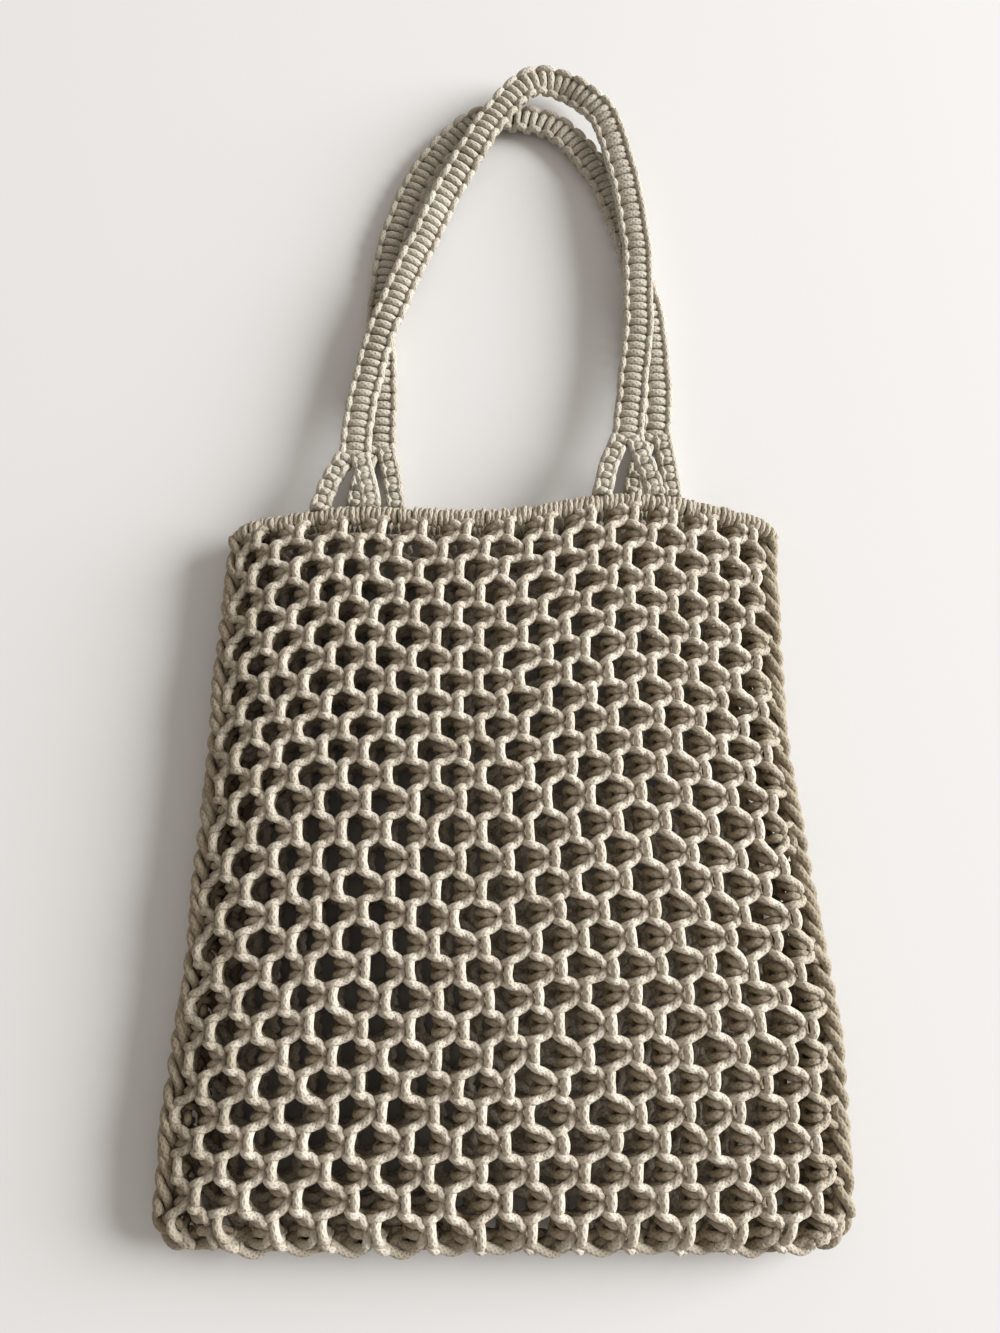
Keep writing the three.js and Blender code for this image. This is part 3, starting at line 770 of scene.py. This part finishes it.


# Twisted cord down the sides and round the base: strands, share of its tone kept from the painted shade (it
# is painted darker for the shade on the sides), length of a turn, radius of the turn and of a strand, depth
# inside the outline at the sides and the base, and radius at the corners
ROPE_STRANDS = 3
ROPE_SHADE_LIFT = 0.35
ROPE_PITCH = 34
ROPE_RADIUS = 3.1
ROPE_CORD = 2.8
ROPE_INSET = 5
BASE_INSET = 6.8
ROPE_CORNER = 20
# Depth of its top below the rim, and its height as a share of the edge's, at the sides and the base
ROPE_TOP = 14
SIDE_LEVEL = 0.66
BASE_LEVEL = 0.53


# Points of the outline: down a side, round a corner and along half of the base
OUTLINE_POINTS = (60, 12, 30)
# Spacing of the points in a strand
ROPE_STEP = 1.6


def wave(run, size, pace, start=0):
    """Slow unevenness along a run."""
    return size * np.sin(run * pace + start)


def outline(side):
    """Points inside the body's outline down one side, and round half of the base."""
    side_points, corner_points, base_points = OUTLINE_POINTS
    top = np.linspace(BODY_LENGTH - ROPE_TOP, ROPE_CORNER, side_points)
    turn = np.linspace(0, math.pi / 2, corner_points)[1:]
    reach = ROPE_CORNER - ROPE_INSET
    corner = side_x(side, ROPE_CORNER) - side * ROPE_CORNER
    low_x = corner + side * reach * np.cos(turn)
    low_y = ROPE_CORNER - reach * np.sin(turn) + (BASE_INSET - ROPE_INSET) * (turn / turn[-1]) ** 3
    base_x = np.linspace(low_x[-1], 0, base_points)[1:]
    down = np.stack([side_x(side, top) - side * ROPE_INSET, top], axis=1)
    round_corner = np.stack([low_x, low_y], axis=1)
    base = np.stack([base_x, np.full_like(base_x, BASE_INSET)], axis=1)
    return down, np.concatenate([down[-1:], round_corner, base])


def rope(line, level):
    """Twisted strands along a line of x and y, at a share of the height of the body's edge."""
    steps = np.linalg.norm(np.diff(line, axis=0), axis=1)
    run = np.concatenate([[0], np.cumsum(steps)])
    even = np.linspace(0, run[-1], round(run[-1] / ROPE_STEP))
    x, y = np.interp(even, run, line[:, 0]), np.interp(even, run, line[:, 1])
    way = unit(np.stack([np.gradient(x), np.gradient(y)], axis=1))
    out = np.stack([way[:, 1], -way[:, 0], np.zeros(len(x))], axis=1)
    middle = np.stack([x, y, level * edge_height(y)], axis=1)
    strands = []
    for k in range(ROPE_STRANDS):
        turn = 2 * math.pi * (k / ROPE_STRANDS + even / ROPE_PITCH)
        turn = turn + wave(even, size=0.5, pace=0.083, start=1.7 * k)
        loose = ROPE_RADIUS * (1 + wave(even, size=0.22, pace=0.13, start=2 * k))
        across, rise = (loose * np.cos(turn))[:, None], (loose * np.sin(turn))[:, None]
        strands.append(middle + out * across + UP * rise)
    return strands


left_down, left_base = outline(-1)
right_down, right_base = outline(1)
for part, line in (("left", left_down), ("right", right_down[::-1])):
    twist = rope(line, SIDE_LEVEL)
    paths = [item[1] for item in net_paths[part]] + twist
    radii = [item[2] for item in net_paths[part]] + [ROPE_CORD] * len(twist)
    # The twisted cords are painted partly darker, as painted shade for the shade on the sides
    shade_lifts = [item[3] for item in net_paths[part]] + [ROPE_SHADE_LIFT] * len(twist)
    piece = cord_piece(f"{part}_side_cords", paths, EDGE_CORD, FLATS["edge"], radii, shade_lifts=shade_lifts)
    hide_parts(f"{part}_side_lacing")


# Base. Reach of the curves that join the front's cords to the back's, and radius of its cords
BOW_REACH = 4.5
BASE_RADIUS = CORD * 0.55
# Scallops: columns from a bar's foot to both ends, rows of both ends, depth and its unevenness
SCALLOP_COLUMNS = (0.02, 0.95)
SCALLOP_ROWS = (27.32, 27.4)
SCALLOP_DEPTH = 6.8
SCALLOP_WANDER = 0.8
# Height of their first end at the back and at the front, and of their last end
SCALLOP_START = (2.5, 4.5)
SCALLOP_END = 0.5
# Sag of their middle at the back and at the front: share of the depth, and rise in z
SCALLOP_SHARE = (0.7, 1.0)
SCALLOP_RISE = (1.0, -3.5)
SCALLOP_POWER = 1.2
# Least distance of a scallop's first end from the left side and from the right one, in columns
SCALLOP_CLEAR = (0.3, 0.9)
# x of the bar in a knot, in cord diameters
BAR_PLACE = 1.45


def bow(a, b, out_a, out_b):
    """Smooth curve from a to b that leaves along out_a and arrives against out_b."""
    t = np.linspace(0, 1, 14)[:, None]
    c, d = a + out_a * BOW_REACH, b + out_b * BOW_REACH
    return a * (1 - t) ** 3 + 3 * c * t * (1 - t) ** 2 + 3 * d * t ** 2 * (1 - t) + b * t ** 3


front_ends = sorted(ends["front"], key=lambda item: item[0])
back_ends = sorted(ends["back"], key=lambda item: -item[0])
base_paths = []
for (_, a), (_, b) in zip(front_ends, back_ends):
    base_paths.append(bow(a[-1], b[-1], unit(a[-1] - a[0]), unit(b[-1] - b[0])))


def scallop(column, over):
    """Arc of cord along the lower edge, from the foot of one bar to the next knot."""
    t = np.linspace(0, 1, 20)[:, None]
    first, last = (np.array([column + step]) for step in SCALLOP_COLUMNS)
    if not over:
        first, last = COLUMNS - first, COLUMNS - last
    start_row, end_row = (np.array([row]) for row in SCALLOP_ROWS)
    start = on_body(first, start_row, np.array([SCALLOP_START[over]]))
    end = on_body(last, end_row, np.array([SCALLOP_END]))
    depth = SCALLOP_DEPTH + SCALLOP_WANDER * rng.normal()
    sag = np.array([0, -SCALLOP_SHARE[over] * depth, SCALLOP_RISE[over]])
    return start * (1 - t) + end * t + np.sin(math.pi * t) ** SCALLOP_POWER * sag


# Column of a bar's foot in the lowest row
foot = FIRST_COLUMN + 0.5 + BAR_PLACE / COLUMN_PITCH
for k in range(-1, COLUMNS // 2):
    if SCALLOP_CLEAR[0] < foot + k < COLUMNS / 2 - SCALLOP_CLEAR[1]:
        base_paths += [scallop(foot + k, True), scallop(foot + k, False)]
base_radii = [BASE_RADIUS] * len(base_paths) + [ROPE_CORD] * ROPE_STRANDS
# The twisted cord round the base is painted partly darker, as painted shade
base_shade_lifts = [1.0] * len(base_paths) + [ROPE_SHADE_LIFT] * ROPE_STRANDS
base_paths += rope(np.concatenate([left_base, right_base[-2::-1]]), BASE_LEVEL)
piece = cord_piece("base_cords", base_paths, EDGE_CORD, FLATS["edge"], base_radii, shade_lifts=base_shade_lifts)
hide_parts("base_hem")


# Rim: spacing and radius of the wraps, row of their middle, and width of a column there
WRAP_PITCH = 3.4
WRAP_RADIUS = 1.9
WRAP_ROW = -0.64
RIM_COLUMN = 27.2
# A wrap's tilt in columns, how far its middle stands out and its half depth
WRAP_TILT = 0.004
WRAP_OUT = 1.2
WRAP_DEPTH = 6.2
# Unevenness, in the order of the draws: tilt, half height, half depth, row, column and stand-out
WRAP_WANDER = (0.018, 0.5, 0.35, 0.02, 0.012, 0.2)


def rim_wraps(first, last, count):
    """Upright wraps round the holding cord, from one column to another, each a little its own way."""
    loops = []
    turn = 2 * math.pi * np.arange(14) / 14
    for k in range(count):
        tilt, tall, deep, lower, beside, proud = (size * rng.normal() for size in WRAP_WANDER)
        column = first + (last - first) * (k + 0.5) / count
        up = np.cos(turn) * (BAND_W / 2 - WRAP_RADIUS * 0.75 + tall)
        out = WRAP_OUT + np.sin(turn) * (WRAP_DEPTH - WRAP_RADIUS + deep)
        row = WRAP_ROW + lower - up / (CORD * ROW_PITCH)
        columns = column + (WRAP_TILT + tilt) * np.cos(turn) + beside
        loops.append(on_body(columns, row, out + proud))
    return loops


half_ring = COLUMNS / 2
ring_count = round(half_ring * RIM_COLUMN / WRAP_PITCH)
for part, first, last in (("front", 0, half_ring), ("back", half_ring, COLUMNS)):
    loops = rim_wraps(first, last, ring_count)
    piece = cord_piece(f"{part}_rim_wraps", loops, RIM_CORD, FLATS["rim"], WRAP_RADIUS, closed=True)
    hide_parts(f"{part}_rim_band")


# Straps: radii of the ribs, of the bars down the edges and of the straight cords inside
RIB_RADIUS = 2.65
BAR_RADIUS = 2.25
FILLER_RADIUS = 2.0
BAND_KNOT = band_knot()
# x of the bars' middle in the knot, and of the three straight cords
BAR_X = 8.0
FILLER_X = (-4.4, 0, 4.4)
# Height of the straight cords, and spacing of their points
FILLER_Z = -0.8
FILLER_STEP = 4
# Points of a smooth curve, and spacing of the places taken from it
CURVE_POINTS = 1200
CURVE_STEP = 0.5


def smooth_run(points):
    """Even places along a smooth curve through the points, and the length of the curve."""
    points = np.asarray(points, float)
    gaps = np.sqrt(np.linalg.norm(np.diff(points, axis=0), axis=1))
    knots = np.concatenate([[0], np.cumsum(gaps)])
    fine = np.linspace(0, knots[-1], CURVE_POINTS)
    curve = np.stack([along(knots, points[:, k], fine) for k in range(points.shape[1])], axis=1)
    steps = np.linalg.norm(np.diff(curve[:, :3], axis=0), axis=1)
    run = np.concatenate([[0], np.cumsum(steps)])
    count = max(2, round(run[-1] / CURVE_STEP))
    even = np.linspace(0, run[-1], count + 1)
    places = [np.interp(even, run, curve[:, k]) for k in range(points.shape[1])]
    return np.stack(places, axis=1), run[-1]


def band_frame(path):
    """Places, and the across and face directions, along a path whose last column is its lean."""
    places = path[:, :3]
    tangent = unit(np.gradient(places, axis=0))
    inward = unit(np.cross(tangent, UP))
    normal = np.cross(inward, tangent)
    turn = np.radians(path[:, 3])[:, None]
    across = inward * np.cos(turn) - normal * np.sin(turn)
    face = normal * np.cos(turn) + inward * np.sin(turn)
    return places, across, face


def sennit(route, pitch, width):
    """Cords of a knotted band along a route of x, y, z and lean: its ribs, its bars and its fillers."""
    fine, length = smooth_run(route)
    places, across, face = band_frame(fine)
    run = np.linspace(0, length, len(fine))
    count = round(length / pitch)
    step = length / count
    scale = (width / 2 - BAR_RADIUS) / BAR_X

    def laid(x, z, s):
        wobble = wave(s, size=0.3, pace=0.11, start=1) + wave(s, size=0.2, pace=0.23)
        at, side, out = (
            np.stack([np.interp(s, run, field[:, i]) for i in range(3)], axis=1)
            for field in (places, across, face)
        )
        return at + side * (x * scale + wobble)[:, None] + out * z[:, None]

    cords = {}
    for name, strand in BAND_KNOT.items():
        k = np.repeat(np.arange(count), len(strand))
        x, y, z = (np.tile(strand[:, i], count) for i in range(3))
        loose = 1 + wave(k, size=0.05, pace=2.3, start=1) + wave(k, size=0.04, pace=5.1)
        cords[name] = laid(x, z * loose, (k + 0.5 - y / STRAP_PITCH) * step)
    s = np.linspace(0, length, max(4, round(length / FILLER_STEP)))
    cords["fillers"] = [laid(np.full_like(s, x), np.full_like(s, FILLER_Z), s) for x in FILLER_X]
    return cords


def band_piece(name, route, pitch, width, sides, node):
    """One strap or leg along its route, in place of its solid."""
    cords = sennit(route, pitch, width)
    paths = [cords["rib"], cords["bar"], *cords["fillers"]]
    radii = [RIB_RADIUS, BAR_RADIUS] + [FILLER_RADIUS] * len(FILLER_X)
    piece = cord_piece(name, paths, STRAP_CORD, sides, radii)
    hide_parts(node)


def strap_route(route):
    """Route of a strap in millimetres, from its shares."""
    return [(a * RIM_HALF, BODY_LENGTH + u * HANDLE_RISE, h * STRAP_T, lean) for a, u, h, lean in route]


# Foot of a leg: depth under the front's surface, which is taken this far below the rim, height at
# the back, and drop under the rim's top
FOOT_DEPTH = 5
FOOT_BELOW = 8.0
FOOT_BACK = 5.5
FOOT_DROP = 3
# Head of a leg: distance from the strap's middle line, and rise over the strap's end
HEAD_ASIDE = 4
HEAD_RISE = 3
# Shares of the foot and the head in the leg's middle, for x, y and z, and how far it bows out
LEG_MIX = ((0.52, 0.48), (0.5, 0.5), (0.55, 0.45))
LEG_BOW = 1.0


def leg_route(foot, end, side, over):
    """Route of a leg from its foot on the rim to the strap's end, at the front or at the back."""
    x = foot * RIM_HALF
    z = FOOT_BACK
    if over:
        z = front_z(np.array([x]), np.array([BODY_LENGTH - FOOT_BELOW]))[0] - FOOT_DEPTH
    low = (x, BODY_LENGTH + float(swell(x)) - FOOT_DROP, z, 0)
    head = (end[0] + side * HEAD_ASIDE, end[1] + HEAD_RISE, end[2], 0)
    across, up, lift = (a * one + b * other for a, b, (one, other) in zip(low, head, LEG_MIX))
    return [low, (across + side * LEG_BOW, up, lift, 0), head]


for panel, route in (("front", FRONT_ROUTE), ("back", BACK_ROUTE)):
    line = strap_route(route)
    node = f"{panel}_strap"
    band_piece(f"{node}_cords", line, STRAP_PITCH, STRAP_W, FLATS[node], node)
    for hand, end in (("left", line[0]), ("right", line[-1])):
        for number, foot in enumerate(LEG_FEET[panel][hand]):
            name = f"{panel}_{hand}_leg_cords_{number + 1}"
            path = leg_route(foot, end, -1 if number == 0 else 1, panel == "front")
            node = f"{panel}_{hand}_leg_{number + 1}"
            band_piece(name, path, LEG_PITCH, LEG_W, FLATS["leg"], node)


# Floor, light and camera, in metres. The floor lies just under the lowest cord.
FLOOR_HALF = 6.0
FLOOR_LEVEL = -0.0005

floor_material = bpy.data.materials.new("pale_floor")
floor_material.use_nodes = True
floor_shader = floor_material.node_tree.nodes["Principled BSDF"]
floor_shader.inputs["Base Color"].default_value = (0.78, 0.78, 0.778, 1)
floor_shader.inputs["Roughness"].default_value = 0.95
floor_shader.inputs["Specular IOR Level"].default_value = 0.1

floor_mesh = bpy.data.meshes.new("floor")
floor_signs = ((-1, -1), (1, -1), (1, 1), (-1, 1))
floor_corners = [(a * FLOOR_HALF, b * FLOOR_HALF, FLOOR_LEVEL) for a, b in floor_signs]
floor_mesh.from_pydata(floor_corners, [], [(0, 1, 2, 3)])
floor_mesh.materials.append(floor_material)
floor = bpy.data.objects.new("floor", floor_mesh)
bpy.context.scene.collection.objects.link(floor)

# Dim light from all round
world = bpy.data.worlds.new("studio")
world.use_nodes = True
world.node_tree.nodes["Background"].inputs["Color"].default_value = (1.0, 0.93, 0.86, 1)
world.node_tree.nodes["Background"].inputs["Strength"].default_value = 0.4
bpy.context.scene.world = world
bpy.context.scene.view_settings.view_transform = "Standard"
bpy.context.scene.view_settings.look = "Medium High Contrast"


# One large soft light that faces the bag from the right, about 22 degrees up
KEY_PLACE = np.array((7.0, 1.2, 2.9))
KEY_TARGET = np.array((0, -0.05, 0))

key_light = bpy.data.lights.new("key", "AREA")
key_light.shape = "DISK"
key_light.size = 5.2
key_light.energy = 930
key_light.color = (0.98, 0.99, 1.0)
key = bpy.data.objects.new("key", key_light)
key.location = KEY_PLACE
way = KEY_PLACE - KEY_TARGET
key.rotation_euler = (math.atan2(math.hypot(way[0], way[1]), way[2]), 0, math.atan2(way[0], -way[1]))
bpy.context.scene.collection.objects.link(key)

# The camera looks nearly straight down, and is placed to show the bag as the photo does
CAMERA_PLACE = (-0.00206, -0.2113, 0.648)
CAMERA_TILT = math.radians(14)
CAMERA_LENS = 29.17

camera_data = bpy.data.cameras.new("camera")
camera_data.sensor_fit = "VERTICAL"
camera_data.sensor_height = 36
camera_data.lens = CAMERA_LENS
camera_data.clip_start = 0.05
camera_data.clip_end = 50
camera = bpy.data.objects.new("camera", camera_data)
camera.location = CAMERA_PLACE
camera.rotation_euler = (CAMERA_TILT, 0, 0)
bpy.context.scene.collection.objects.link(camera)
bpy.context.scene.camera = camera
